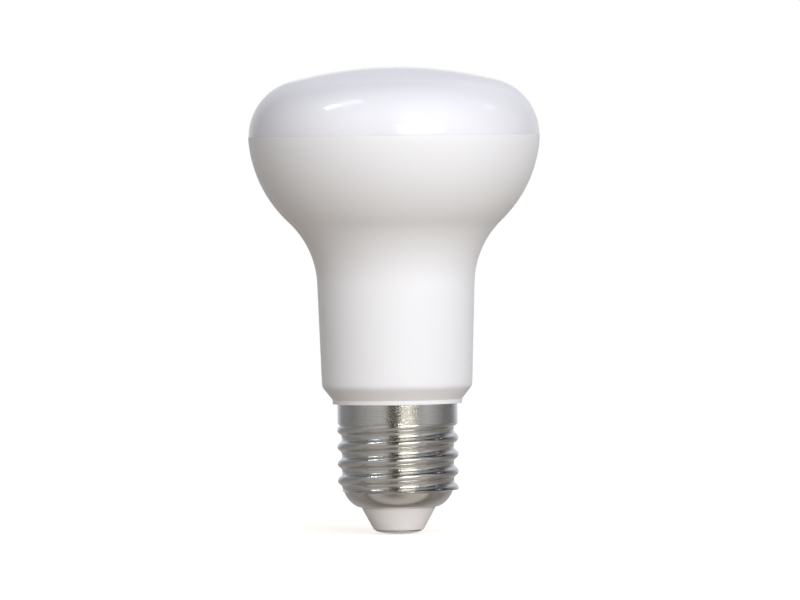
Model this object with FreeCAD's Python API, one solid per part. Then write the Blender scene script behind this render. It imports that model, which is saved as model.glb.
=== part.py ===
import FreeCAD, Part
import math
import os

# A reflector lamp with a screw cap: a shallow opal dome on a white moulded housing that funnels down
# to a plain neck, and under it a rolled metal shell with a round thread, a white insulator and the
# centre contact. The origin is the tip of the contact, +Z runs up the lamp's axis to the face of the
# dome, and the thread's first full crest lies towards +X. The lamp is sealed and can't be seen into,
# so its housing and dome are solid inside. Sizes are in millimetres and degrees. A point is written
# as its radius, its distance from the axis, and its height.

# Overall
LAMP_DIAMETER = 63.0
LAMP_HEIGHT = 101.0
SEAM_CHAMFER = 0.1

# Dome
CROWN_RISE = 2.5
DOME_CORNER_RADIUS = 12.5
SPIGOT_INSET = 1.6
SPIGOT_WALL = 1.5
SPIGOT_DEPTH = 3.0

# Housing
RIM_RADIUS = 12.5
RIM_TURN = 5.3
BELLY_RADIUS = 27.3
FLARE_RADIUS = 19.3
NECK_FOOT_DIAMETER = 32.48
NECK_FOOT_HEIGHT = 32.0
NECK_DRAFT = 1.97
FOOT_SLOPE = 38.5
FOOT_EDGE_RADIUS = 2.0
LIP_DIAMETER = 28.0
LIP_THICKNESS = 0.9

# Screw shell
SHELL_TOP = 28.2
SHELL_WALL = 0.35
BAND_DIAMETER = 26.0
BAND_HEIGHT = 4.3
BAND_STEP_HEIGHT = 0.9
SHOULDER_TOP = 11.1
SHOULDER_UPPER_RADIUS = 5.8
SHOULDER_LOWER_RADIUS = 3.5
SHOULDER_TURN = 58.0

# Round thread of a 27 mm screw cap, seven turns to the inch
THREAD_DIAMETER = 26.2
THREAD_DEPTH = 1.03
THREAD_ARC_RADIUS = 1.025
THREAD_PITCH = 25.4 / 7
THREAD_FIRST_CREST = 9.8
THREAD_LEAD_HEIGHT = 9.25
THREAD_LEAD_SLOPE = 12.0
THREAD_ROOT_LAND = 0.6

# Insulator
INSULATOR_NECK_DIAMETER = 15.9
INSULATOR_NECK_HEIGHT = 5.55
INSULATOR_FOOT_DIAMETER = 10.74
INSULATOR_FOOT_HEIGHT = 0.85
INSULATOR_EDGE_RADIUS = 0.35
INSULATOR_TOP = 8.5

# Centre contact
CONTACT_DIAMETER = 10.0
CONTACT_RIM = 0.2
CONTACT_LAND_DIAMETER = 3.0
SHANK_DIAMETER = 2.2
SHANK_LENGTH = 4.2
SHANK_CHAMFER = 0.4

# Clearances between pieces
SPIGOT_GAP = 0.1
CAP_GAP = 0.05
SHANK_GAP = 0.03

# How far a cutting solid runs past what it cuts, and a ridge's root past the sleeve's surface
OVERRUN = 1.0
ROOT_SINK = 0.15

# Chords that stand for each arc of the thread's section, which keep the meshed thread light
CHORDS = 4

AXIS = FreeCAD.Vector(0, 0, 1)


def point(radius, height):
    """A point of the half plane in which every outline is drawn."""
    return FreeCAD.Vector(radius, 0, height)


def towards(start, end):
    """The direction from one point to another, as a vector one millimetre long."""
    return (end - start).normalize()


def on_circle(centre, radius, angle):
    """The point of a circle at so many degrees above straight out."""
    turn = math.radians(angle)
    return centre + point(math.cos(turn), math.sin(turn)) * radius


def across(centre, radius, distance):
    """Where the lower half of a circle crosses this distance from the axis."""
    return point(distance, centre.z - math.sqrt(radius**2 - (distance - centre.x) ** 2))


def level(centre, radius, height):
    """Where the outer half of a circle crosses this height."""
    return point(centre.x + math.sqrt(radius**2 - (height - centre.z) ** 2), height)


class Outline:
    """A closed outline in the half plane, drawn edge by edge and turned round the axis."""

    def __init__(self, start):
        self.start = start
        self.pen = start
        self.edges = []

    def line(self, *corners):
        """Straight edges from the pen through each corner in turn."""
        for corner in corners:
            self.edges.append(Part.makeLine(self.pen, corner))
            self.pen = corner

    def arc(self, centre, end):
        """The shorter arc about a centre from the pen to the end."""
        middle = towards(centre, self.pen) + towards(centre, end)
        middle = centre + middle.normalize() * (self.pen - centre).Length
        self.edges.append(Part.Arc(self.pen, middle, end).toShape())
        self.pen = end

    def rounded(self, corner, radius, beyond):
        """An edge towards a corner that is rounded on the way to the point beyond it."""
        back = towards(corner, self.pen)
        onward = towards(corner, beyond)
        half = back.getAngle(onward) / 2
        reach = radius / math.tan(half)
        centre = corner + (back + onward).normalize() * (radius / math.sin(half))
        self.line(corner + back * reach)
        self.arc(centre, corner + onward * reach)

    def turned(self):
        """The solid that the closed outline makes when it is turned round the axis."""
        self.line(self.start)
        face = Part.Face(Part.Wire(self.edges))
        return face.revolve(FreeCAD.Vector(), AXIS, 360)


# Radii and heights that follow from the driving sizes

LAMP_RADIUS = LAMP_DIAMETER / 2
SEAM_HEIGHT = LAMP_HEIGHT - CROWN_RISE - DOME_CORNER_RADIUS
LIP_RADIUS = LIP_DIAMETER / 2
SPIGOT_OUTER = LAMP_RADIUS - SPIGOT_INSET
SPIGOT_INNER = SPIGOT_OUTER - SPIGOT_WALL

CREST_RADIUS = THREAD_DIAMETER / 2
ROOT_RADIUS = CREST_RADIUS - THREAD_DEPTH
CREST_CENTRE = CREST_RADIUS - THREAD_ARC_RADIUS
ROOT_CENTRE = ROOT_RADIUS + THREAD_ARC_RADIUS
SLEEVE_RADIUS = ROOT_CENTRE - math.sqrt(THREAD_ARC_RADIUS**2 - (THREAD_ROOT_LAND / 2) ** 2)
SLEEVE_BORE = SLEEVE_RADIUS - SHELL_WALL
THREAD_START = THREAD_LEAD_HEIGHT - THREAD_PITCH / 2

BAND_RADIUS = BAND_DIAMETER / 2
BAND_BORE = BAND_RADIUS - SHELL_WALL
BAND_BOTTOM = SHELL_TOP - BAND_HEIGHT
STEP_BOTTOM = BAND_BOTTOM - BAND_STEP_HEIGHT

UPPER_CENTRE = point(SLEEVE_RADIUS - SHOULDER_UPPER_RADIUS, SHOULDER_TOP)
LOWER_CENTRE = on_circle(UPPER_CENTRE, SHOULDER_UPPER_RADIUS - SHOULDER_LOWER_RADIUS, -SHOULDER_TURN)
SHELL_INSIDE = SHELL_WALL + CAP_GAP

INSULATOR_NECK = INSULATOR_NECK_DIAMETER / 2
SHELL_HOLE = INSULATOR_NECK + CAP_GAP
SHANK_RADIUS = SHANK_DIAMETER / 2
SHANK_TOP = INSULATOR_FOOT_HEIGHT + SHANK_LENGTH


def diffuser():
    """The opal dome: a shallow crown, a rounded corner, and a spigot that drops into the housing."""
    corner_centre = point(LAMP_RADIUS - DOME_CORNER_RADIUS, SEAM_HEIGHT)
    # The crown's circle is centred on the axis and touches the corner's circle from outside it
    crown_radius = DOME_CORNER_RADIUS + (corner_centre.x**2 + CROWN_RISE**2) / CROWN_RISE / 2
    crown_centre = point(0, LAMP_HEIGHT - crown_radius)
    shape = Outline(point(0, SEAM_HEIGHT))
    shape.line(
        point(SPIGOT_INNER, SEAM_HEIGHT),
        point(SPIGOT_INNER, SEAM_HEIGHT - SPIGOT_DEPTH),
        point(SPIGOT_OUTER, SEAM_HEIGHT - SPIGOT_DEPTH),
        point(SPIGOT_OUTER, SEAM_HEIGHT),
        point(LAMP_RADIUS - SEAM_CHAMFER, SEAM_HEIGHT),
        level(corner_centre, DOME_CORNER_RADIUS, SEAM_HEIGHT + SEAM_CHAMFER),
    )
    shape.arc(corner_centre, crown_centre + towards(crown_centre, corner_centre) * crown_radius)
    shape.arc(crown_centre, point(0, LAMP_HEIGHT))
    return shape.turned()


def head_and_neck(shape):
    """The housing's outside, from the seam down the belly and the flare to the rounded foot edge."""
    rim_centre = point(LAMP_RADIUS - RIM_RADIUS, SEAM_HEIGHT)
    belly_centre = on_circle(rim_centre, RIM_RADIUS - BELLY_RADIUS, -RIM_TURN)
    up_neck = on_circle(point(0, 0), 1, 90 - NECK_DRAFT)
    out_of_neck = on_circle(point(0, 0), 1, -NECK_DRAFT)
    neck_foot = point(NECK_FOOT_DIAMETER / 2, NECK_FOOT_HEIGHT)
    # The flare's centre is one radius off the neck's line, and its circle touches the belly's
    offset = neck_foot + out_of_neck * FLARE_RADIUS - belly_centre
    along = offset.dot(up_neck)
    reach = BELLY_RADIUS + FLARE_RADIUS
    neck_top = neck_foot - up_neck * (along + math.sqrt(along**2 - offset.dot(offset) + reach**2))
    flare_centre = neck_top + out_of_neck * FLARE_RADIUS
    shape.line(
        point(LAMP_RADIUS - SEAM_CHAMFER, SEAM_HEIGHT),
        level(rim_centre, RIM_RADIUS, SEAM_HEIGHT - SEAM_CHAMFER),
    )
    shape.arc(rim_centre, on_circle(rim_centre, RIM_RADIUS, -RIM_TURN))
    shape.arc(belly_centre, belly_centre + towards(belly_centre, flare_centre) * BELLY_RADIUS)
    shape.arc(flare_centre, neck_top)
    # The foot's cone and the neck's line meet at the corner that is rounded
    lip_corner = point(LIP_RADIUS, SHELL_TOP + LIP_THICKNESS)
    widening = math.tan(math.radians(FOOT_SLOPE))
    leaning = math.tan(math.radians(NECK_DRAFT))
    rise = (neck_foot.x - leaning * (neck_foot.z - lip_corner.z) - LIP_RADIUS) / (widening - leaning)
    shape.rounded(lip_corner + point(widening, 1) * rise, FOOT_EDGE_RADIUS, lip_corner)
    shape.line(lip_corner)


def housing():
    """The moulded body in one piece: head, neck, foot and lip, and the plug inside the screw shell."""
    plug = BAND_BORE - CAP_GAP
    core = SLEEVE_BORE - CAP_GAP
    lining = SHOULDER_UPPER_RADIUS - SHELL_INSIDE
    groove_floor = SEAM_HEIGHT - SPIGOT_DEPTH - SPIGOT_GAP
    shape = Outline(point(0, SEAM_HEIGHT))
    shape.line(
        point(SPIGOT_INNER - SPIGOT_GAP, SEAM_HEIGHT),
        point(SPIGOT_INNER - SPIGOT_GAP, groove_floor),
        point(SPIGOT_OUTER + SPIGOT_GAP, groove_floor),
        point(SPIGOT_OUTER + SPIGOT_GAP, SEAM_HEIGHT),
    )
    head_and_neck(shape)
    shape.line(
        point(LIP_RADIUS, SHELL_TOP),
        point(plug, SHELL_TOP),
        point(plug, BAND_BOTTOM),
        point(core, STEP_BOTTOM),
        point(core, SHOULDER_TOP),
    )
    shape.arc(UPPER_CENTRE, level(UPPER_CENTRE, lining, INSULATOR_TOP))
    shape.line(point(0, INSULATOR_TOP))
    return shape.turned()


def shell_outline(band, sleeve, inset, top, distance):
    """The shell's outline without its thread, so far inside its surface: band, step, sleeve, shoulder."""
    shape = Outline(point(0, top))
    shape.line(
        point(band, top),
        point(band, BAND_BOTTOM),
        point(sleeve, STEP_BOTTOM),
        point(sleeve, SHOULDER_TOP),
    )
    shape.arc(UPPER_CENTRE, on_circle(UPPER_CENTRE, SHOULDER_UPPER_RADIUS - inset, -SHOULDER_TURN))
    shape.arc(LOWER_CENTRE, across(LOWER_CENTRE, SHOULDER_LOWER_RADIUS - inset, distance))
    return shape


def thread_section():
    """One ridge across the thread, about its crest: a crest arc, two flanks and a root arc each side."""
    rise = ROOT_CENTRE - CREST_CENTRE
    half_pitch = THREAD_PITCH / 2
    # The flank is the straight line that touches the crest's and the root's circles between them
    flank = math.atan2(half_pitch, rise) - math.acos(2 * THREAD_ARC_RADIUS / math.hypot(rise, half_pitch))
    land = math.asin(THREAD_ROOT_LAND / 2 / THREAD_ARC_RADIUS)
    crest_centre = point(CREST_CENTRE, 0)
    root_centre = point(ROOT_CENTRE, half_pitch)
    crest = [i * flank / (CHORDS / 2) for i in range(CHORDS // 2 + 1)]
    root = [flank + i * (land - flank) / (CHORDS / 2) for i in range(CHORDS // 2 + 1)]
    upper = [on_circle(crest_centre, THREAD_ARC_RADIUS, math.degrees(turn)) for turn in crest]
    upper += [on_circle(root_centre, -THREAD_ARC_RADIUS, math.degrees(turn)) for turn in root]
    upper[-1] += towards(upper[-2], upper[-1]) * ROOT_SINK
    upper.append(point(CREST_CENTRE - OVERRUN, upper[-1].z))
    lower = [point(corner.x, -corner.z) for corner in reversed(upper[1:])]
    return Part.makePolygon(lower + upper + lower[:1])


def thread_ridge():
    """The ridge wound up from +X, trimmed by a flat cone where it starts and by the band above."""
    path = Part.makeHelix(THREAD_PITCH, BAND_BOTTOM + THREAD_PITCH / 2 - THREAD_START, CREST_RADIUS)
    ridge = path.makePipeShell([thread_section()], True, True)
    ridge.translate(AXIS * THREAD_START)
    inside = CREST_CENTRE - 2 * OVERRUN
    outside = CREST_RADIUS + OVERRUN
    lead = math.tan(math.radians(THREAD_LEAD_SLOPE))
    room = Outline(point(inside, BAND_BOTTOM))
    room.line(
        point(outside, BAND_BOTTOM),
        point(outside, THREAD_LEAD_HEIGHT + lead * (outside - SLEEVE_RADIUS)),
        point(inside, THREAD_LEAD_HEIGHT + lead * (inside - SLEEVE_RADIUS)),
    )
    return ridge.common(room.turned())


def screw_shell():
    """The thin metal shell: band, thread and shoulder, open at the top and round the insulator."""
    outside = shell_outline(BAND_RADIUS, SLEEVE_RADIUS, 0, SHELL_TOP, INSULATOR_NECK)
    outside.line(point(0, outside.pen.z))
    inside = shell_outline(BAND_BORE, SLEEVE_BORE, SHELL_WALL, SHELL_TOP + OVERRUN, SHELL_HOLE)
    inside.line(point(SHELL_HOLE, INSULATOR_FOOT_HEIGHT), point(0, INSULATOR_FOOT_HEIGHT))
    shell = outside.turned().fuse(thread_ridge()).cut(inside.turned())
    # Turned back so that the first full crest comes round to +X
    shell.rotate(FreeCAD.Vector(), AXIS, -360 * (THREAD_FIRST_CREST - THREAD_START) / THREAD_PITCH)
    return shell


def insulator():
    """The white cone that the shell grips by a neck, with a wide flange inside and the contact's hole."""
    hole = SHANK_RADIUS + SHANK_GAP
    foot = point(INSULATOR_FOOT_DIAMETER / 2, INSULATOR_FOOT_HEIGHT)
    neck = point(INSULATOR_NECK, INSULATOR_NECK_HEIGHT)
    lower = SHOULDER_LOWER_RADIUS - SHELL_INSIDE
    upper = SHOULDER_UPPER_RADIUS - SHELL_INSIDE
    shape = Outline(point(0, SHANK_TOP + SHANK_GAP))
    shape.line(point(hole, SHANK_TOP + SHANK_GAP), point(hole, INSULATOR_FOOT_HEIGHT))
    shape.rounded(foot, INSULATOR_EDGE_RADIUS, neck)
    shape.line(neck, across(LOWER_CENTRE, lower, INSULATOR_NECK))
    shape.arc(LOWER_CENTRE, on_circle(LOWER_CENTRE, lower, -SHOULDER_TURN))
    shape.arc(UPPER_CENTRE, level(UPPER_CENTRE, upper, INSULATOR_TOP))
    shape.line(point(0, INSULATOR_TOP))
    return shape.turned()


def centre_contact():
    """The metal button under the insulator, with a small flat land and a shank pressed up its hole."""
    rim = CONTACT_DIAMETER / 2
    land = CONTACT_LAND_DIAMETER / 2
    drop = INSULATOR_FOOT_HEIGHT - CONTACT_RIM
    # The button's round underside leaves its flat land with no corner and ends at the rim
    round_radius = ((rim - land) ** 2 + drop**2) / drop / 2
    shape = Outline(point(0, 0))
    shape.line(point(land, 0))
    shape.arc(point(land, round_radius), point(rim, drop))
    shape.line(
        point(rim, INSULATOR_FOOT_HEIGHT),
        point(SHANK_RADIUS, INSULATOR_FOOT_HEIGHT),
        point(SHANK_RADIUS, SHANK_TOP - SHANK_CHAMFER),
        point(SHANK_RADIUS - SHANK_CHAMFER, SHANK_TOP),
        point(0, SHANK_TOP),
    )
    return shape.turned()


PIECES = {
    "diffuser": diffuser,
    "housing": housing,
    "screw_shell": screw_shell,
    "insulator": insulator,
    "centre_contact": centre_contact,
}

os.makedirs("parts", exist_ok=True)
for name, make in PIECES.items():
    shape = make()
    shape.exportStep(f"parts/{name}.step")
    print(f"{name}: {shape.Volume:.1f} cubic millimetres")
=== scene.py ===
"""A reflector lamp with a screw cap, dressed for a plain studio picture.

Every visible piece is a closed surface worked out with numpy. Most are outlines of radius and height
turned about the lamp's axis. The screw shell adds the thread, a radius that also depends on the angle.
Lengths are in metres and angles in degrees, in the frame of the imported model: the origin is the tip
of the centre contact, +Z runs up the axis to the dome, and the camera looks along +Y.
"""

from __future__ import annotations

import logging
import math
from dataclasses import dataclass, field
from enum import Enum

import bpy
import numpy as np
from mathutils import Matrix, Vector

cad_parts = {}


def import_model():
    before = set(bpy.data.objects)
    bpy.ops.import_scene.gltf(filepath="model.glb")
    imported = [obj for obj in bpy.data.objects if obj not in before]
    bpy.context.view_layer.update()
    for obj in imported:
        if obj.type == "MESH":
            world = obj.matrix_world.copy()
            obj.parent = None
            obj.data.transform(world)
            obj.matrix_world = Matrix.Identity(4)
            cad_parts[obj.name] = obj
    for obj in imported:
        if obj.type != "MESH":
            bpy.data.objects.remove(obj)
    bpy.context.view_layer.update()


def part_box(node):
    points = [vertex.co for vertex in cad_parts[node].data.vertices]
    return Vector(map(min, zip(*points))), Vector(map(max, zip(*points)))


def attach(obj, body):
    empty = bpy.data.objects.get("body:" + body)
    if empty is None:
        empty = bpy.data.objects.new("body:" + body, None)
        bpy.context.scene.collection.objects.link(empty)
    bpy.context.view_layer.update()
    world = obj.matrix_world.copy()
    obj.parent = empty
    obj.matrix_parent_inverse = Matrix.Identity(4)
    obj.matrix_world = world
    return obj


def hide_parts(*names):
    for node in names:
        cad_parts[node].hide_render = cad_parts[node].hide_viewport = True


log = logging.getLogger("reflector_lamp")

# Red, green and blue, from 0 to 1
Colour = tuple[float, float, float]

# Where a change starts and where it ends
Span = tuple[float, float]

# The most degrees that one step of an arc turns, on a main form and on a tiny round along an edge
FORM_TURN = 4.0
EDGE_TURN = 15.0

# Faces that meet at more degrees than this keep a sharp edge between them
SHARP_ANGLE = 35.0

# The Mix node's sockets when it mixes colours: its two colours, and its result
FIRST_COLOUR, SECOND_COLOUR, MIXED_COLOUR = 6, 7, 2


def at(radius: float, height: float) -> np.ndarray:
    """A point of the half plane in which every outline is drawn."""
    return np.array([radius, height])


def heading(angle: float) -> np.ndarray:
    """The direction at so many degrees above straight out from the axis."""
    return at(math.cos(math.radians(angle)), math.sin(math.radians(angle)))


def unit(vector: np.ndarray) -> np.ndarray:
    """The same direction, one unit long."""
    return vector / np.linalg.norm(vector)


def level(centre: np.ndarray, radius: float, height: float) -> np.ndarray:
    """Where the outer half of a circle crosses this height."""
    return at(centre[0] + math.sqrt(radius**2 - (height - centre[1]) ** 2), height)


def across(centre: np.ndarray, radius: float, distance: float) -> np.ndarray:
    """Where the lower half of a circle crosses this distance from the axis."""
    return at(distance, centre[1] - math.sqrt(radius**2 - (distance - centre[0]) ** 2))


class Ends(Enum):
    """How the rows of a grid end: in a pole at each end, or joined into a ring."""

    POLES = "poles"
    RING = "ring"


class Outline:
    """A line of points in the half plane of radius and height, drawn from the pen onwards."""

    def __init__(self, start: np.ndarray, spacing: float) -> None:
        """Puts the pen down.

        Args:
            start: the first point.
            spacing: the longest step between two points of a run.
        """
        self.spacing = spacing
        self.runs = [start[None, :]]

    @property
    def pen(self) -> np.ndarray:
        """The last point drawn."""
        return self.runs[-1][-1]

    @property
    def radius(self) -> np.ndarray:
        """The radius of every point so far, as one column."""
        return np.concatenate(self.runs)[:, :1]

    @property
    def height(self) -> np.ndarray:
        """The height of every point so far, as one column."""
        return np.concatenate(self.runs)[:, 1:]

    def line(self, *corners: np.ndarray) -> None:
        """Straight runs through each corner in turn: pen + share * (corner - pen).

        Args:
            corners: where each run ends.
        """
        for corner in corners:
            count = max(1, math.ceil(np.linalg.norm(corner - self.pen) / self.spacing))
            share = np.linspace(0, 1, count + 1)[1:, None]
            self.runs.append(self.pen + share * (corner - self.pen))

    def arc(self, centre: np.ndarray, end: np.ndarray, turn: float = FORM_TURN) -> None:
        """The shorter arc about a centre: centre + radius * (cosine, sine) of evenly stepped angles.

        Args:
            centre: the arc's centre.
            end: where the arc ends.
            turn: the most degrees that one step may turn.
        """
        arm = self.pen - centre
        first = math.atan2(arm[1], arm[0])
        sweep = math.atan2(end[1] - centre[1], end[0] - centre[0]) - first
        sweep = (sweep + math.pi) % (2 * math.pi) - math.pi
        radius = np.linalg.norm(arm)
        steps = max(abs(sweep) * radius / self.spacing, math.degrees(abs(sweep)) / turn)
        angles = first + sweep * np.linspace(0, 1, max(1, math.ceil(steps)) + 1)[1:]
        self.runs.append(centre + radius * np.column_stack([np.cos(angles), np.sin(angles)]))

    def rounded(self, corner: np.ndarray, radius: float, beyond: np.ndarray) -> None:
        """A straight run towards a corner that is rounded on the way to the point beyond it.

        With half the angle between the two runs, the round starts and ends radius / tan(half) from
        the corner, and its centre lies radius / sin(half) from it.

        Args:
            corner: the corner that the round takes off.
            radius: the round's radius.
            beyond: a point further on along the run that leaves the corner.
        """
        back = unit(self.pen - corner)
        onward = unit(beyond - corner)
        half = math.acos(float(back @ onward)) / 2
        reach = radius / math.tan(half)
        self.line(corner + back * reach)
        centre = corner + unit(back + onward) * radius / math.sin(half)
        self.arc(centre, corner + onward * reach, turn=EDGE_TURN)


def grid_faces(rows: int, columns: int, ends: Ends) -> list[list[int]]:
    """The faces of a grid of rows that each run once round the axis.

    A face joins corner (i, j) to (i + 1, j), (i + 1, j + 1) and (i, j + 1), where the columns wrap
    round. With poles, the two vertices past the grid are the first and the last pole, and triangles
    fan out to them.

    Args:
        rows: rows of the grid, the poles not counted.
        columns: vertices in each row.
        ends: how the first and the last row are closed.

    Returns:
        Vertex numbers, one list for each face.
    """
    column = np.arange(columns)
    following = (column + 1) % columns
    first = np.arange(rows if ends is Ends.RING else rows - 1)[:, None] * columns
    second = (first + columns) % (rows * columns)
    corners = [first + column, second + column, second + following, first + following]
    quads = np.stack(corners, axis=-1).reshape(-1, 4).tolist()
    if ends is Ends.RING:
        return quads
    last = (rows - 1) * columns
    poles = np.full((2, columns), [[rows * columns], [rows * columns + 1]])
    cap = np.column_stack([poles[0], column, following])
    base = np.column_stack([poles[1], last + following, last + column])
    return quads + cap.tolist() + base.tolist()


def turned(
    name: str,
    radius: np.ndarray,
    height: np.ndarray,
    angles: np.ndarray,
    ends: Ends = Ends.POLES,
) -> bpy.types.Object:
    """A closed surface: (radius * cos angle, radius * sin angle, height) at each row and angle.

    Args:
        name: the piece's name.
        radius: the distance from the axis at each row and angle, or one column of them.
        height: the height of each row, as one column.
        angles: the angle of each column, in radians.
        ends: how the rows end. With poles, the first and the last row become one point each.

    Returns:
        The new object, at the origin, with its place in its mesh.
    """
    radius, height, angles = np.broadcast_arrays(radius, height, angles[None, :])
    places = np.stack([radius * np.cos(angles), radius * np.sin(angles), height], axis=-1)
    rows, columns = radius.shape
    vertices = places.reshape(-1, 3)
    if ends is Ends.POLES:
        rows -= 2
        poles = places[[0, -1], 0] * [0, 0, 1]
        vertices = np.concatenate([places[1:-1].reshape(-1, 3), poles])
    mesh = bpy.data.meshes.new(name)
    mesh.from_pydata(vertices.tolist(), [], grid_faces(rows, columns, ends))
    mesh.polygons.foreach_set("use_smooth", np.ones(len(mesh.polygons), bool))
    mesh.set_sharp_from_angle(angle=math.radians(SHARP_ANGLE))
    mesh.update()
    piece = bpy.data.objects.new(name, mesh)
    bpy.context.scene.collection.objects.link(piece)
    return piece


def round_angles(columns: int) -> np.ndarray:
    """Evenly spaced angles once round the axis, in radians."""
    return np.arange(columns) * 2 * math.pi / columns


class Shader:
    """A node tree with short calls to add a node and join its sockets."""

    def __init__(self, tree: bpy.types.NodeTree) -> None:
        """Starts from an empty tree."""
        self.tree = tree
        tree.nodes.clear()

    def add(
        self,
        kind: str,
        inputs: dict[str | int, object] | None = None,
        **settings: object,
    ) -> bpy.types.Node:
        """Adds a node.

        Args:
            kind: the node's type name, without its Shader Node prefix.
            inputs: socket name or number to a value, or to the output socket that feeds it.
            settings: the node's own properties.

        Returns:
            The new node.
        """
        node = self.tree.nodes.new("ShaderNode" + kind)
        for key, value in settings.items():
            setattr(node, key, value)
        for key, value in (inputs or {}).items():
            if isinstance(value, bpy.types.NodeSocket):
                self.tree.links.new(value, node.inputs[key])
            else:
                node.inputs[key].default_value = value
        return node

    def math(self, operation: str, *values: object) -> bpy.types.NodeSocket:
        """The result of a Math node on one to three values or sockets."""
        return self.add("Math", dict(enumerate(values)), operation=operation).outputs[0]

    def noise(self, scale: float, detail: float = 2.0) -> bpy.types.NodeSocket:
        """Noise on the piece's own place, with so many bumps to the metre."""
        place = self.add("TexCoord").outputs["Object"]
        return self.add("TexNoise", {"Vector": place, "Scale": scale, "Detail": detail}).outputs[0]

    def follow(
        self,
        value: bpy.types.NodeSocket,
        span: Span,
        result: Span = (0.0, 1.0),
    ) -> bpy.types.NodeSocket:
        """A number that goes evenly from one to another while a value crosses a span.

        Args:
            value: the socket that is followed.
            span: where the value starts and stops to change the number, rising or falling.
            result: the number before the span and past it.

        Returns:
            The socket with the number.
        """
        limits = {"From Min": span[0], "From Max": span[1], "To Min": result[0], "To Max": result[1]}
        return self.add("MapRange", {"Value": value, **limits}).outputs[0]

    def blend(
        self,
        share: bpy.types.NodeSocket,
        first: Colour | bpy.types.NodeSocket,
        second: Colour,
    ) -> bpy.types.NodeSocket:
        """A colour between two.

        Args:
            share: the socket with the second colour's share.
            first: the colour at share 0, or the socket that gives it.
            second: the colour at share 1.

        Returns:
            The socket with the colour.
        """
        start = first if isinstance(first, bpy.types.NodeSocket) else (*first, 1)
        inputs = {0: share, FIRST_COLOUR: start, SECOND_COLOUR: (*second, 1)}
        return self.add("Mix", inputs, data_type="RGBA").outputs[MIXED_COLOUR]


@dataclass(frozen=True)
class Finish:
    """A surface: its two near colours, its gloss and its fine relief.

    Scales are in bumps to the metre, and the grain's height is in metres.
    """

    slot: str
    colour: Colour
    drift: Colour
    roughness: float
    roughness_spread: float = 0.05
    metallic: float = 0.0
    coat: float = 0.0
    coat_roughness: float = 0.03
    cloud_scale: float = 60.0
    grain_scale: float = 3000.0
    grain_height: float = 2e-6

    def material(self) -> bpy.types.Material:
        """Builds the node tree: cloudy colour, uneven gloss and a fine grain as a bump.

        Returns:
            The new material, named after its slot.
        """
        material = bpy.data.materials.new(self.slot)
        material.use_nodes = True
        shader = Shader(material.node_tree)
        cloud = shader.noise(self.cloud_scale)
        colour = shader.blend(cloud, self.colour, self.drift)
        rougher = self.roughness + self.roughness_spread
        uneven = shader.follow(cloud, (0.0, 1.0), (self.roughness, rougher))
        grain = shader.noise(self.grain_scale, detail=1.0)
        relief = shader.add("Bump", {"Height": grain, "Distance": self.grain_height, "Strength": 1.0})
        surface = shader.add(
            "BsdfPrincipled",
            {
                "Base Color": colour,
                "Roughness": uneven,
                "Metallic": self.metallic,
                "Coat Weight": self.coat,
                "Coat Roughness": self.coat_roughness,
                "Normal": relief.outputs[0],
            },
        )
        shader.add("OutputMaterial", {"Surface": surface.outputs[0]})
        return material


OPAL_DOME = Finish(
    slot="opal_dome",
    colour=(0.85, 0.85, 0.885),
    drift=(0.865, 0.865, 0.9),
    roughness=0.3,
    coat=1.0,
    grain_scale=1500,
    grain_height=1e-6,
)

WHITE_HOUSING = Finish(
    slot="white_housing",
    colour=(0.85, 0.855, 0.865),
    drift=(0.865, 0.87, 0.88),
    roughness=0.45,
    grain_scale=3500,
    grain_height=3e-6,
)

PLATED_SHELL = Finish(
    slot="plated_shell",
    colour=(0.68, 0.685, 0.67),
    drift=(0.715, 0.72, 0.71),
    roughness=0.06,
    metallic=1.0,
    cloud_scale=250,
    grain_scale=3300,
    grain_height=3.4e-5,
)

WHITE_INSULATOR = Finish(
    slot="white_insulator",
    colour=(0.905, 0.895, 0.905),
    drift=(0.925, 0.915, 0.925),
    roughness=0.4,
    grain_scale=3000,
    grain_height=3e-6,
)

CONTACT_METAL = Finish(
    slot="contact_metal",
    colour=(0.56, 0.55, 0.53),
    drift=(0.62, 0.61, 0.59),
    roughness=0.35,
    metallic=1.0,
    cloud_scale=600,
    grain_scale=3000,
    grain_height=1e-5,
)


@dataclass(frozen=True)
class SpigotFit:
    """The ring under the dome and the groove in the housing that takes it."""

    inset: float = 0.0016
    wall: float = 0.0015
    depth: float = 0.003
    gap: float = 0.0001


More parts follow.
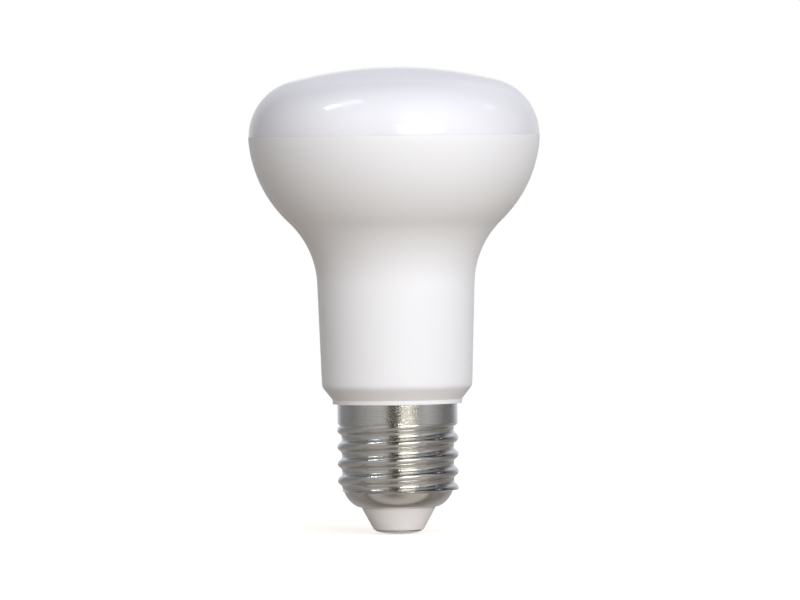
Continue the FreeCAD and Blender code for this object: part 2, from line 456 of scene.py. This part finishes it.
@dataclass(frozen=True)
class CapForm:
    """The sizes of the screw cap that the shell, the housing's plug and the insulator all follow.

    The thread makes seven turns to the inch.
    """

    wall: float = 0.00035
    gap: float = 0.00005
    band_radius: float = 0.013
    band_height: float = 0.0043
    step_height: float = 0.0009
    crest_radius: float = 0.0131
    thread_depth: float = 0.00103
    thread_arc: float = 0.001025
    pitch: float = 0.0254 / 7
    root_land: float = 0.0006
    first_crest: float = 0.0098
    lead_height: float = 0.00925
    lead_slope: float = 12.0
    shoulder_top: float = 0.0111
    upper_arc: float = 0.0058
    lower_arc: float = 0.0035
    shoulder_turn: float = 58.0
    insulator_neck: float = 0.00795

    @property
    def crest_centre(self) -> float:
        """How far from the axis the centres of the crests' arcs lie."""
        return self.crest_radius - self.thread_arc

    @property
    def root_centre(self) -> float:
        """How far from the axis the centres of the roots' arcs lie."""
        return self.crest_radius - self.thread_depth + self.thread_arc

    @property
    def sleeve(self) -> float:
        """The sleeve's radius, where it cuts the roots' arcs into a narrow flat land."""
        return self.root_centre - math.sqrt(self.thread_arc**2 - (self.root_land / 2) ** 2)

    @property
    def upper_centre(self) -> np.ndarray:
        """The centre of the shoulder's upper arc."""
        return at(self.sleeve - self.upper_arc, self.shoulder_top)

    @property
    def lower_centre(self) -> np.ndarray:
        """The centre of the shoulder's lower arc, which goes on from the upper one."""
        return self.upper_centre + heading(-self.shoulder_turn) * (self.upper_arc - self.lower_arc)

    def shoulder(self, outline: Outline, inset: float, distance: float) -> None:
        """Carries an outline down the shoulder's two arcs.

        Args:
            outline: the outline, whose pen is at the top of the shoulder.
            inset: how far inside the shoulder's outer surface the outline runs.
            distance: how far from the axis it ends.
        """
        turn = heading(-self.shoulder_turn) * (self.upper_arc - inset)
        outline.arc(self.upper_centre, self.upper_centre + turn)
        outline.arc(self.lower_centre, across(self.lower_centre, self.lower_arc - inset, distance))


@dataclass
class Piece:
    """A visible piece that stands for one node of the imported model, as high and wide as the node."""

    node: str
    finish: Finish
    bottom: float = field(init=False)
    top: float = field(init=False)
    reach: float = field(init=False)

    def __post_init__(self) -> None:
        """Reads the heights and the radius of the node's box from the frame."""
        low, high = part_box(self.node)
        self.bottom, self.top, self.reach = low.z, high.z, high.x

    def surface(self) -> bpy.types.Object:
        """The piece's closed surface, which each kind of piece makes in its own way."""
        raise NotImplementedError

    def build(self) -> None:
        """Makes the piece, dresses it, puts it in its node's place, and reports it."""
        piece = self.surface()
        piece.data.materials.append(self.finish.material())
        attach(piece, "root")
        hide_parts(self.node)
        log.info("%s: %d faces", piece.name, len(piece.data.polygons))


@dataclass
class Dome(Piece):
    """The opal dome: a shallow crown, a rounded corner, and a spigot that drops into the housing."""

    spigot: SpigotFit = SpigotFit()
    crown_rise: float = 0.0025
    corner_radius: float = 0.0125
    edge_radius: float = 0.00005
    spacing: float = 0.0006
    columns: int = 288

    def surface(self) -> bpy.types.Object:
        """A crown and a corner, two arcs that touch, and below the seam the spigot's straight runs.

        With c the distance of the corner's centre from the axis, the arcs touch where the crown's
        radius is the corner's radius + (c^2 + crown_rise^2) / (2 * crown_rise).

        Returns:
            The dome.
        """
        seam = self.bottom + self.spigot.depth
        outer = self.reach - self.spigot.inset
        inner = outer - self.spigot.wall
        corner = at(self.reach - self.corner_radius, seam)
        crown_radius = self.corner_radius + (corner[0] ** 2 + self.crown_rise**2) / self.crown_rise / 2
        crown = at(0, self.top - crown_radius)
        edge = at(self.reach - self.edge_radius, seam + self.edge_radius)
        outline = Outline(at(0, self.top), self.spacing)
        outline.arc(crown, crown + unit(corner - crown) * crown_radius)
        outline.arc(corner, level(corner, self.corner_radius, edge[1]))
        outline.arc(edge, edge - at(0, self.edge_radius), turn=EDGE_TURN)
        outline.line(at(outer, seam), at(outer, self.bottom), at(inner, self.bottom), at(inner, seam))
        outline.line(at(0, seam))
        return turned("dome", outline.radius, outline.height, round_angles(self.columns))


@dataclass
class Housing(Piece):
    """The moulded body: rim, belly, flare, drafted neck, foot and lip, and the plug in the cap."""

    spigot: SpigotFit = SpigotFit()
    cap: CapForm = CapForm()
    edge_radius: float = 0.00005
    rim_radius: float = 0.0125
    rim_turn: float = 5.3
    belly_radius: float = 0.0273
    flare_radius: float = 0.0193
    neck_foot_radius: float = 0.01624
    neck_foot_height: float = 0.032
    neck_draft: float = 1.97
    foot_slope: float = 38.5
    foot_edge_radius: float = 0.002
    lip_radius: float = 0.014
    lip_thickness: float = 0.0009
    spacing: float = 0.0006
    columns: int = 288

    def head(self, outline: Outline) -> None:
        """Rim, belly and flare: three arcs that touch each other and the neck's leaning line.

        Args:
            outline: the outline, whose pen is on the seam. It ends at the top of the neck.
        """
        rim = at(self.reach - self.rim_radius, self.top)
        belly = rim + heading(-self.rim_turn) * (self.rim_radius - self.belly_radius)
        up_neck = heading(90 - self.neck_draft)
        out_of_neck = heading(-self.neck_draft)
        neck_foot = at(self.neck_foot_radius, self.neck_foot_height)
        # The flare's centre lies its radius off the neck's line, and both radii from the belly's centre
        offset = neck_foot + out_of_neck * self.flare_radius - belly
        along = float(offset @ up_neck)
        reach = self.belly_radius + self.flare_radius
        neck_top = neck_foot - up_neck * (along + math.sqrt(along**2 - offset @ offset + reach**2))
        flare = neck_top + out_of_neck * self.flare_radius
        edge = at(self.reach - self.edge_radius, self.top - self.edge_radius)
        outline.line(at(edge[0], self.top))
        outline.arc(edge, level(rim, self.rim_radius, edge[1]), turn=EDGE_TURN)
        outline.arc(rim, rim + heading(-self.rim_turn) * self.rim_radius)
        outline.arc(belly, belly + unit(flare - belly) * self.belly_radius)
        outline.arc(flare, neck_top)

    def foot(self, outline: Outline, shell_top: float) -> None:
        """The neck's line rounds into the foot's cone, and a thin lip stands over the screw shell.

        At the height of the lip's corner the neck's line is a width further out than the cone. They
        meet at width / (tan(foot_slope) - tan(neck_draft)) above that corner.

        Args:
            outline: the outline, whose pen is at the top of the neck.
            shell_top: the height of the screw shell's top.
        """
        lip_corner = at(self.lip_radius, shell_top + self.lip_thickness)
        under_lip = at(self.lip_radius, shell_top)
        widening = math.tan(math.radians(self.foot_slope))
        leaning = math.tan(math.radians(self.neck_draft))
        down = self.neck_foot_height - lip_corner[1]
        width = self.neck_foot_radius - leaning * down - self.lip_radius
        foot_corner = lip_corner + at(widening, 1) * width / (widening - leaning)
        outline.rounded(foot_corner, self.foot_edge_radius, lip_corner)
        outline.rounded(lip_corner, self.edge_radius, under_lip)
        outline.rounded(under_lip, self.edge_radius, at(0, shell_top))

    def plug(self, outline: Outline, shell_top: float) -> None:
        """The plug that fills the screw shell, a gap inside its wall, down to the insulator's flange.

        Args:
            outline: the outline, whose pen is under the lip. It ends on the axis.
            shell_top: the height of the screw shell's top.
        """
        cap = self.cap
        band_bottom = shell_top - cap.band_height
        inset = cap.wall + cap.gap
        wide = cap.band_radius - inset
        narrow = cap.sleeve - inset
        outline.line(at(wide, shell_top), at(wide, band_bottom))
        outline.line(at(narrow, band_bottom - cap.step_height), at(narrow, cap.shoulder_top))
        outline.arc(cap.upper_centre, level(cap.upper_centre, cap.upper_arc - inset, self.bottom))
        outline.line(at(0, self.bottom))

    def surface(self) -> bpy.types.Object:
        """The groove for the dome's spigot, then the outside from the seam down to the plug's end.

        Returns:
            The housing.
        """
        shell_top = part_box("screw_shell")[1].z
        outer = self.reach - self.spigot.inset + self.spigot.gap
        inner = outer - self.spigot.wall - 2 * self.spigot.gap
        floor = self.top - self.spigot.depth - self.spigot.gap
        outline = Outline(at(0, self.top), self.spacing)
        outline.line(at(inner, self.top), at(inner, floor), at(outer, floor), at(outer, self.top))
        self.head(outline)
        self.foot(outline, shell_top)
        self.plug(outline, shell_top)
        return turned("housing", outline.radius, outline.height, round_angles(self.columns))


@dataclass
class ScrewShell(Piece):
    """The thin metal shell: plain band, round thread, and the shoulder that grips the insulator."""

    cap: CapForm = CapForm()
    edge_radius: float = 0.0001
    fillet: float = 0.0002
    spacing: float = 0.0004
    thread_spacing: float = 0.00009
    columns: int = 304

    def ridge(self, angles: np.ndarray, height: np.ndarray) -> np.ndarray:
        """The thread's radius at each height and angle.

        A crest climbs one pitch in each turn. With u the height from the nearest crest and v the
        height from the nearest root, the radius is crest_centre + sqrt(arc^2 - u^2) near a crest,
        root_centre - sqrt(arc^2 - v^2) near a root, and on the straight line that touches both arcs
        in between. With half the half pitch and apart = root_centre - crest_centre, that line leans
        by atan2(half, apart) - acos(2 * arc / hypot(apart, half)). A flat cone trims the start, with
        the radius sleeve + (height - lead_height) / tan(lead_slope).

        Args:
            angles: the angle of each column, in radians.
            height: the height of each row, as one column.

        Returns:
            The radius at each row and angle.
        """
        cap = self.cap
        half = cap.pitch / 2
        apart = cap.root_centre - cap.crest_centre
        flank = math.atan2(half, apart) - math.acos(2 * cap.thread_arc / math.hypot(apart, half))
        touch = cap.thread_arc * math.sin(flank)
        crest = cap.first_crest + cap.pitch * angles / (2 * math.pi)
        u = np.abs((height - crest + half) % cap.pitch - half)
        v = half - u
        on_crest = cap.crest_centre + np.sqrt(np.maximum(cap.thread_arc**2 - u**2, 0))
        on_root = cap.root_centre - np.sqrt(np.maximum(cap.thread_arc**2 - v**2, 0))
        on_flank = cap.crest_centre + cap.thread_arc * math.cos(flank) - (u - touch) * math.tan(flank)
        wave = np.select([u < touch, v < touch], [on_crest, on_root], on_flank)
        lead = cap.sleeve + (height - cap.lead_height) / math.tan(math.radians(cap.lead_slope))
        return np.minimum(wave, lead)

    def outside(self) -> Outline:
        """The plain outside: a rounded top edge, the band, the step, the sleeve and the shoulder.

        Returns:
            The outline from the top down to the lip round the insulator.
        """
        cap = self.cap
        band_bottom = self.top - cap.band_height
        top_edge = at(cap.band_radius - self.edge_radius, self.top - self.edge_radius)
        outline = Outline(top_edge + at(0, self.edge_radius), self.spacing)
        outline.arc(top_edge, top_edge + at(self.edge_radius, 0), turn=EDGE_TURN)
        outline.line(at(cap.band_radius, band_bottom))
        outline.spacing = self.thread_spacing
        outline.line(at(cap.sleeve, band_bottom - cap.step_height), at(cap.sleeve, cap.shoulder_top))
        cap.shoulder(outline, 0, cap.insulator_neck + cap.gap)
        return outline

    def inside(self) -> Outline:
        """The inside, a wall further in than the outside.

        Returns:
            The outline from the top down to the lip round the insulator.
        """
        cap = self.cap
        band_bottom = self.top - cap.band_height
        band_radius, sleeve = cap.band_radius - cap.wall, cap.sleeve - cap.wall
        outline = Outline(at(band_radius, self.top), self.spacing)
        outline.line(at(band_radius, band_bottom), at(sleeve, band_bottom - cap.step_height))
        outline.line(at(sleeve, cap.shoulder_top))
        cap.shoulder(outline, cap.wall, cap.insulator_neck + cap.gap)
        return outline

    def surface(self) -> bpy.types.Object:
        """The plain shell's closed section, whose outside is raised to the ridge where that is higher.

        The higher of two radii a and b is rounded where they meet: max(a, b) + h^2 * fillet / 4,
        with h = max(1 - |a - b| / fillet, 0).

        Returns:
            The screw shell.
        """
        section, inside = self.outside(), self.inside()
        outer_rows = len(section.radius)
        section.spacing = self.spacing
        section.line(inside.pen)
        radius = np.concatenate([section.radius, inside.radius[-2::-1]])
        height = np.concatenate([section.height, inside.height[-2::-1]])

        angles = round_angles(self.columns)
        outer = np.arange(len(radius))[:, None] < outer_rows
        below_band = height < self.top - self.cap.band_height
        threaded = outer & below_band & (height > self.cap.lead_height - self.fillet)
        ridge = self.ridge(angles, height)
        meeting = np.maximum(1 - np.abs(ridge - radius) / self.fillet, 0)
        raised = np.maximum(ridge, radius) + meeting**2 * self.fillet / 4
        return turned("screw_shell", np.where(threaded, raised, radius), height, angles, Ends.RING)


@dataclass
class Insulator(Piece):
    """The white cone that the shell grips by a neck, with a wide flange inside the shell."""

    cap: CapForm = CapForm()
    neck_height: float = 0.00555
    foot_radius: float = 0.00537
    edge_radius: float = 0.00035
    shank_hole: float = 0.00113
    hole_top: float = 0.00508
    spacing: float = 0.0004
    columns: int = 192

    def surface(self) -> bpy.types.Object:
        """The flange's top and its two arcs inside the shoulder, the neck, the cone, and the hole.

        Returns:
            The insulator.
        """
        cap = self.cap
        inset = cap.wall + cap.gap
        outline = Outline(at(0, self.top), self.spacing)
        outline.line(level(cap.upper_centre, cap.upper_arc - inset, self.top))
        cap.shoulder(outline, inset, cap.insulator_neck)
        outline.line(at(cap.insulator_neck, self.neck_height))
        outline.rounded(at(self.foot_radius, self.bottom), self.edge_radius, at(0, self.bottom))
        outline.line(at(self.shank_hole, self.bottom), at(self.shank_hole, self.hole_top))
        outline.line(at(0, self.hole_top))
        return turned("insulator", outline.radius, outline.height, round_angles(self.columns))


@dataclass
class CentreContact(Piece):
    """The metal button under the insulator, with a small flat land and a shank up its hole."""

    rim_thickness: float = 0.0002
    land_radius: float = 0.0015
    shank_radius: float = 0.0011
    shank_chamfer: float = 0.0004
    spacing: float = 0.0003
    columns: int = 160

    def surface(self) -> bpy.types.Object:
        """Shank, flat top, thin rim, and a round underside that touches the flat land.

        With w the width of the round underside and d the height that it drops, its radius is
        (w^2 + d^2) / (2 * d).

        Returns:
            The centre contact.
        """
        button_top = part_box("insulator")[0].z
        drop = button_top - self.rim_thickness
        round_radius = ((self.reach - self.land_radius) ** 2 + drop**2) / drop / 2
        outline = Outline(at(0, self.top), self.spacing)
        outline.line(
            at(self.shank_radius - self.shank_chamfer, self.top),
            at(self.shank_radius, self.top - self.shank_chamfer),
            at(self.shank_radius, button_top),
            at(self.reach, button_top),
            at(self.reach, drop),
        )
        outline.arc(at(self.land_radius, round_radius), at(self.land_radius, 0))
        outline.line(at(0, 0))
        return turned("centre_contact", outline.radius, outline.height, round_angles(self.columns))

def towards(azimuth: float, elevation: float) -> Vector:
    """The direction at an azimuth from the camera's side, to the right, and an elevation."""
    a, e = math.radians(azimuth), math.radians(elevation)
    return Vector((math.sin(a) * math.cos(e), -math.cos(a) * math.cos(e), math.sin(e)))


def facing(place: Vector, sight: Vector, roll: float) -> Matrix:
    """Puts a light or a camera in its place.

    Args:
        place: where it stands.
        sight: the way that it looks.
        roll: how far it is turned about its sight, in degrees.

    Returns:
        Its place and turn.
    """
    turn = sight.to_track_quat("-Z", "Y").to_matrix()
    turn = turn @ Matrix.Rotation(math.radians(roll), 3, "Z")
    return Matrix.LocRotScale(place, turn.to_quaternion(), None)


@dataclass(frozen=True)
class SoftBox:
    """A flat studio light that faces the lamp from a direction, and that the camera doesn't see."""

    name: str
    azimuth: float
    elevation: float
    width: float
    height: float
    power: float
    colour: Colour = (1.0, 1.0, 1.0)
    distance: float = 1.5
    roll: float = 0.0
    aim_height: float = 0.06
    mirrored: bool = True

    def build(self) -> None:
        """Hangs the light, turned to face the lamp. Only a mirrored one is seen in gloss."""
        light = bpy.data.lights.new(self.name, "AREA")
        light.shape = "RECTANGLE"
        light.size, light.size_y = self.width, self.height
        light.energy = self.power
        light.color = self.colour
        box = bpy.data.objects.new(self.name, light)
        back = towards(self.azimuth, self.elevation)
        place = Vector((0, 0, self.aim_height)) + back * self.distance
        box.matrix_world = facing(place, -back, self.roll)
        box.visible_camera = False
        box.visible_glossy = self.mirrored
        bpy.context.scene.collection.objects.link(box)


# Each light's name, azimuth, elevation, width, height and power, and what sets it apart
SOFT_BOXES: tuple[SoftBox, ...] = (
    SoftBox("key", 17, 14, 0.56, 0.42, 6.85, colour=(0.94, 0.96, 1.0), mirrored=False),
    SoftBox("warm_card", 21, 13, 0.95, 0.48, 3.8, colour=(1.0, 0.97, 0.91)),
    SoftBox("front_bank", 25, 41, 1.4, 1.0, 10.9, colour=(0.83, 0.855, 1.0), mirrored=False),
    SoftBox("left_strip_bright", -71, 51.6, 0.15, 0.28, 1.35, colour=(0.92, 0.95, 1.0), roll=-17),
    SoftBox("left_strip_dim", -63, 62.8, 0.22, 0.38, 0.66, colour=(0.86, 0.9, 1.0), roll=-24),
    SoftBox("right_window", 101, 38.5, 0.22, 0.22, 0.17),
    SoftBox("right_rim", 128, 25, 0.60, 0.60, 1.4, mirrored=False),
    SoftBox("back_fill", -168, 6, 1.20, 0.60, 4.0, colour=(0.97, 0.98, 1.0), mirrored=False),
)

# The light of the room's walls by azimuth from the camera's side, to the right
WALLS: tuple[tuple[float, Colour], ...] = (
    (-180, (0.74, 0.74, 0.79)),
    (-155, (0.62, 0.62, 0.66)),
    (-138, (0.30, 0.30, 0.32)),
    (-95, (0.225, 0.22, 0.22)),
    (-40, (0.52, 0.51, 0.505)),
    (-24, (0.55, 0.535, 0.51)),
    (-15, (0.10, 0.09, 0.07)),
    (3, (0.10, 0.09, 0.07)),
    (8, (0.86, 0.81, 0.67)),
    (26, (0.86, 0.81, 0.67)),
    (33, (0.30, 0.27, 0.21)),
    (44, (0.46, 0.46, 0.465)),
    (58, (0.58, 0.575, 0.58)),
    (100, (0.20, 0.20, 0.20)),
    (125, (0.20, 0.20, 0.22)),
    (142, (0.46, 0.46, 0.49)),
    (155, (0.70, 0.70, 0.74)),
    (180, (0.74, 0.74, 0.79)),
)

# How straight behind the lamp a thing lies, from 0 to 1, where it begins and ends to turn white in gloss
STRAIGHT_BEHIND: Span = (0.97, 0.99)


def white_to_sight(shader: Shader, place: bpy.types.NodeSocket) -> bpy.types.NodeSocket:
    """One for rays from the camera and through clear things, and off gloss straight behind.

    Args:
        shader: the tree to add to.
        place: the direction, or the place, that is seen.

    Returns:
        The socket with the share of white.
    """
    path = shader.add("LightPath").outputs
    way = shader.add("VectorMath", {0: place}, operation="NORMALIZE").outputs[0]
    depth = shader.add("SeparateXYZ", {"Vector": way}).outputs["Y"]
    mirrored = shader.math("MULTIPLY", path["Is Glossy Ray"], shader.follow(depth, STRAIGHT_BEHIND))
    clear = shader.math("MAXIMUM", path["Is Camera Ray"], path["Is Transmission Ray"])
    return shader.math("MAXIMUM", clear, mirrored)


@dataclass(frozen=True)
class PaintedReflection:
    """A painted reflection: an oval on the floor in front of the lamp that glows to gloss alone, so that
    the screw shell's shoulder mirrors a pale oval.

    Places on it run from -1 to 1 across its width and its depth, and distances from its middle are
    1 at its edge. Past a soft edge it has a painted dark rim, seen in gloss alone, which fades into
    the floor.
    """

    width: float = 0.066
    depth: float = 0.040
    forward: float = 0.029
    # How brightly the painted reflection glows, to gloss alone
    glow: float = 0.12
    soft_edge: Span = (1.05, 0.95)
    rim_fade: Span = (1.1, 1.3)
    # The painted dark rim round the reflection, seen in gloss alone
    rim_colour: Colour = (0.32, 0.27, 0.23)
    # Painted shade: the reflection is greyer on the left
    tone_span: Span = (-0.3, 0.2)
    tone: Span = (0.8, 1.1)
    # A painted dark spot in the reflection
    spot_place: tuple[float, float, float] = (-0.08, 0.5, 0.0)
    spot_radius: float = 0.3
    spot_tone: float = -0.1

    def oval(self, shader: Shader, place: bpy.types.NodeSocket) -> bpy.types.NodeSocket:
        """Places on the painted reflection: (x * 2 / width, (y + forward) * 2 / depth).

        Args:
            shader: the tree to add to.
            place: the place on the floor.

        Returns:
            The socket with the place on the card.
        """
        scale = Vector((2 / self.width, 2 / self.depth, 0))
        shift = Vector((0, 2 * self.forward / self.depth, 0))
        inputs = {0: place, 1: scale, 2: shift}
        return shader.add("VectorMath", inputs, operation="MULTIPLY_ADD").outputs[0]

    def white(
        self,
        shader: Shader,
        oval: bpy.types.NodeSocket,
        reach: bpy.types.NodeSocket,
    ) -> bpy.types.NodeSocket:
        """The painted reflection's share of white, painted greyer on the left and with a painted dark
        spot.

        Args:
            shader: the tree to add to.
            oval: the place on the card.
            reach: the distance from the card's middle.

        Returns:
            The socket with the share of white.
        """
        painted_reflection = shader.follow(reach, self.soft_edge)
        across_card = shader.add("SeparateXYZ", {"Vector": oval}).outputs["X"]
        grey = shader.follow(across_card, self.tone_span, self.tone)
        spot = shader.add("VectorMath", {0: oval, 1: Vector(self.spot_place)}, operation="DISTANCE")
        dark = shader.follow(spot.outputs["Value"], (0.0, self.spot_radius), (self.spot_tone, 1.0))
        return shader.math("MULTIPLY", painted_reflection, shader.math("MULTIPLY", grey, dark))


@dataclass(frozen=True)
class Floor:
    """A pale disc that glows a little to the eye, and that can't be seen from underneath."""

    radius: float = 0.4
    corners: int = 96
    drop: float = 0.00005
    colour: Colour = (0.55, 0.49, 0.42)
    glow: float = 0.9
    shade_glow: float = 0.68
    shade_reach: float = 0.12
    polish: float = 0.5
    roughness: float = 0.3
    clear_patch: Span = (0.005, 0.004)
    # The painted reflection that the screw shell's shoulder mirrors
    painted_reflection: PaintedReflection = PaintedReflection()

    def disc(self) -> bpy.types.Object:
        """A flat disc just under the lamp: (radius * cos angle, radius * sin angle, -drop).

        Returns:
            The floor, still without its material.
        """
        rim = round_angles(self.corners)
        height = np.full_like(rim, -self.drop)
        places = np.column_stack([self.radius * np.cos(rim), self.radius * np.sin(rim), height])
        mesh = bpy.data.meshes.new("floor")
        mesh.from_pydata(places.tolist(), [], [list(range(self.corners))])
        floor = bpy.data.objects.new("floor", mesh)
        bpy.context.scene.collection.objects.link(floor)
        return floor

    def surface(
        self,
        shader: Shader,
        place: bpy.types.NodeSocket,
        gloss: bpy.types.NodeSocket,
        away: bpy.types.NodeSocket,
    ) -> bpy.types.NodeSocket:
        """Pale paint that glows. Gloss sees a painted reflection on it, a glowing oval with a painted
        dark rim, and a half polished table past it.

        Args:
            shader: the tree to add to.
            place: the place on the floor.
            gloss: one for rays off gloss.
            away: the distance from the lamp's axis.

        Returns:
            The socket with the floor's surface.
        """
        painted_reflection = self.painted_reflection
        # The painted reflection: gloss alone sees the oval glow, with its dark rim and dark spot
        oval = painted_reflection.oval(shader, place)
        reach = shader.add("VectorMath", {0: oval}, operation="LENGTH").outputs["Value"]
        white = painted_reflection.white(shader, oval, reach)
        past = shader.follow(reach, painted_reflection.rim_fade)
        rim = shader.math("SUBTRACT", shader.math("SUBTRACT", 1.0, white), past)
        # Painted dark rim: to gloss alone the paint turns dark round the oval
        colour = shader.blend(shader.math("MULTIPLY", gloss, rim), self.colour, painted_reflection.rim_colour)
        paint = shader.add("BsdfDiffuse", {"Color": colour}).outputs[0]
        polished = shader.add("BsdfGlossy", {"Roughness": self.roughness}).outputs[0]
        share = shader.math("MULTIPLY", shader.math("MULTIPLY", gloss, past), self.polish)
        table = shader.add("MixShader", {0: share, 1: paint, 2: polished}).outputs[0]
        # The glow is weaker near the lamp, where it would hide the lamp's shadow
        glow = shader.follow(away, (0.0, self.shade_reach), (self.shade_glow, self.glow))
        # Painted reflection: the oval glows to gloss alone
        shine = shader.math("MULTIPLY", shader.math("MULTIPLY", gloss, white), painted_reflection.glow)
        strength = shader.math("MULTIPLY_ADD", white_to_sight(shader, place), glow, shine)
        light = shader.add("Emission", {"Strength": strength}).outputs[0]
        return shader.add("AddShader", {0: table, 1: light}).outputs[0]

    def material(self) -> bpy.types.Material:
        """The floor's surface, made clear from underneath, and to gloss right under the contact.

        Without that patch the contact would mirror its own shadow.

        Returns:
            The new material.
        """
        material = bpy.data.materials.new("floor")
        material.use_nodes = True
        shader = Shader(material.node_tree)
        place = shader.add("TexCoord").outputs["Object"]
        gloss = shader.add("LightPath").outputs["Is Glossy Ray"]
        away = shader.add("VectorMath", {0: place}, operation="LENGTH").outputs["Value"]
        surface = self.surface(shader, place, gloss, away)
        patch = shader.math("MULTIPLY", gloss, shader.follow(away, self.clear_patch))
        hidden = shader.math("MAXIMUM", shader.add("NewGeometry").outputs["Backfacing"], patch)
        clear = shader.add("BsdfTransparent").outputs[0]
        seen = shader.add("MixShader", {0: hidden, 1: surface, 2: clear})
        shader.add("OutputMaterial", {"Surface": seen.outputs[0]})
        return material

    def build(self) -> None:
        """Lays the floor as a part of the stage."""
        floor = self.disc()
        floor.data.materials.append(self.material())


@dataclass(frozen=True)
class Room:
    """A grey room that lights the lamp, and that is white where the eye sees past the lamp."""

    ceiling: Span = (0.95, 0.65)
    flag_azimuth: float = 92.0
    flag_elevation: float = 38.0
    flag_edge: Span = (0.95, 0.85)
    flag_light: float = 0.2

    def walls(self, shader: Shader, direction: bpy.types.NodeSocket) -> bpy.types.NodeSocket:
        """The walls' light, which grows dark towards the ceiling and behind a flag up on the right.

        Args:
            shader: the tree to add to.
            direction: the direction that is seen.

        Returns:
            The socket with the walls' colour.
        """
        # The ramp of colours runs once round, from straight behind, with the camera's side in its middle
        parts = shader.add("SeparateXYZ", {"Vector": direction}).outputs
        azimuth = shader.math("ARCTAN2", parts["X"], shader.math("MULTIPLY", parts["Y"], -1.0))
        turn = shader.math("MULTIPLY_ADD", azimuth, 0.5 / math.pi, 0.5)
        ramp = shader.add("ValToRGB", {"Fac": turn})
        stops = ramp.color_ramp.elements
        for angle, _ in WALLS[1:-1]:
            stops.new(angle / 360 + 0.5)
        for stop, (_, colour) in zip(stops, WALLS):
            stop.color = (*colour, 1)
        flag = towards(self.flag_azimuth, self.flag_elevation)
        near_flag = shader.add("VectorMath", {0: direction, 1: flag}, operation="DOT_PRODUCT")
        past_flag = shader.follow(near_flag.outputs["Value"], self.flag_edge, (self.flag_light, 1.0))
        share = shader.math("MULTIPLY", shader.follow(parts["Z"], self.ceiling), past_flag)
        lit = shader.add("VectorMath", {0: ramp.outputs[0], "Scale": share}, operation="SCALE")
        return lit.outputs[0]

    def build(self) -> None:
        """Makes the world: the walls, with white over them where the eye sees past the lamp."""
        world = bpy.data.worlds.new("studio")
        world.use_nodes = True
        shader = Shader(world.node_tree)
        direction = shader.add("TexCoord").outputs["Generated"]
        walls = self.walls(shader, direction)
        colour = shader.blend(white_to_sight(shader, direction), walls, (1.0, 1.0, 1.0))
        background = shader.add("Background", {"Color": colour, "Strength": 1.0})
        shader.add("OutputWorld", {"Surface": background.outputs[0]})
        bpy.context.scene.world = world


@dataclass(frozen=True)
class View:
    """The camera, level with the seam, aimed at the picture's middle, and rolled a little."""

    distance: float = 1.7
    field_width: float = 0.1729
    aim_height: float = 0.0505
    aside: float = 0.00085
    roll: float = 0.72

    def build(self) -> None:
        """Sets up the camera, whose lens makes the picture as wide as the field at the lamp."""
        data = bpy.data.cameras.new("camera")
        data.lens = data.sensor_width * self.distance / self.field_width
        camera = bpy.data.objects.new("camera", data)
        place = Vector((self.aside, -self.distance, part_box("housing")[1].z))
        sight = Vector((self.aside, 0, self.aim_height)) - place
        camera.matrix_world = facing(place, sight, -self.roll)
        bpy.context.scene.collection.objects.link(camera)
        bpy.context.scene.camera = camera


@dataclass(frozen=True)
class Studio:
    """Everything that isn't the lamp: the floor, the room around it, the lights and the camera."""

    floor: Floor = Floor()
    room: Room = Room()
    lights: tuple[SoftBox, ...] = SOFT_BOXES
    view: View = View()

    def build(self) -> None:
        """Sets up each part of the studio."""
        bpy.context.scene.view_settings.view_transform = "Standard"
        self.floor.build()
        self.room.build()
        for light in self.lights:
            light.build()
        self.view.build()


def main() -> None:
    """Loads the frame, builds the lamp and its studio, and logs each piece's face count."""
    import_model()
    pieces = [
        Dome("diffuser", OPAL_DOME),
        Housing("housing", WHITE_HOUSING),
        ScrewShell("screw_shell", PLATED_SHELL),
        Insulator("insulator", WHITE_INSULATOR),
        CentreContact("centre_contact", CONTACT_METAL),
    ]
    for piece in pieces:
        piece.build()
    Studio().build()


if __name__ == "__main__":
    logging.basicConfig(level=logging.INFO)
    main()
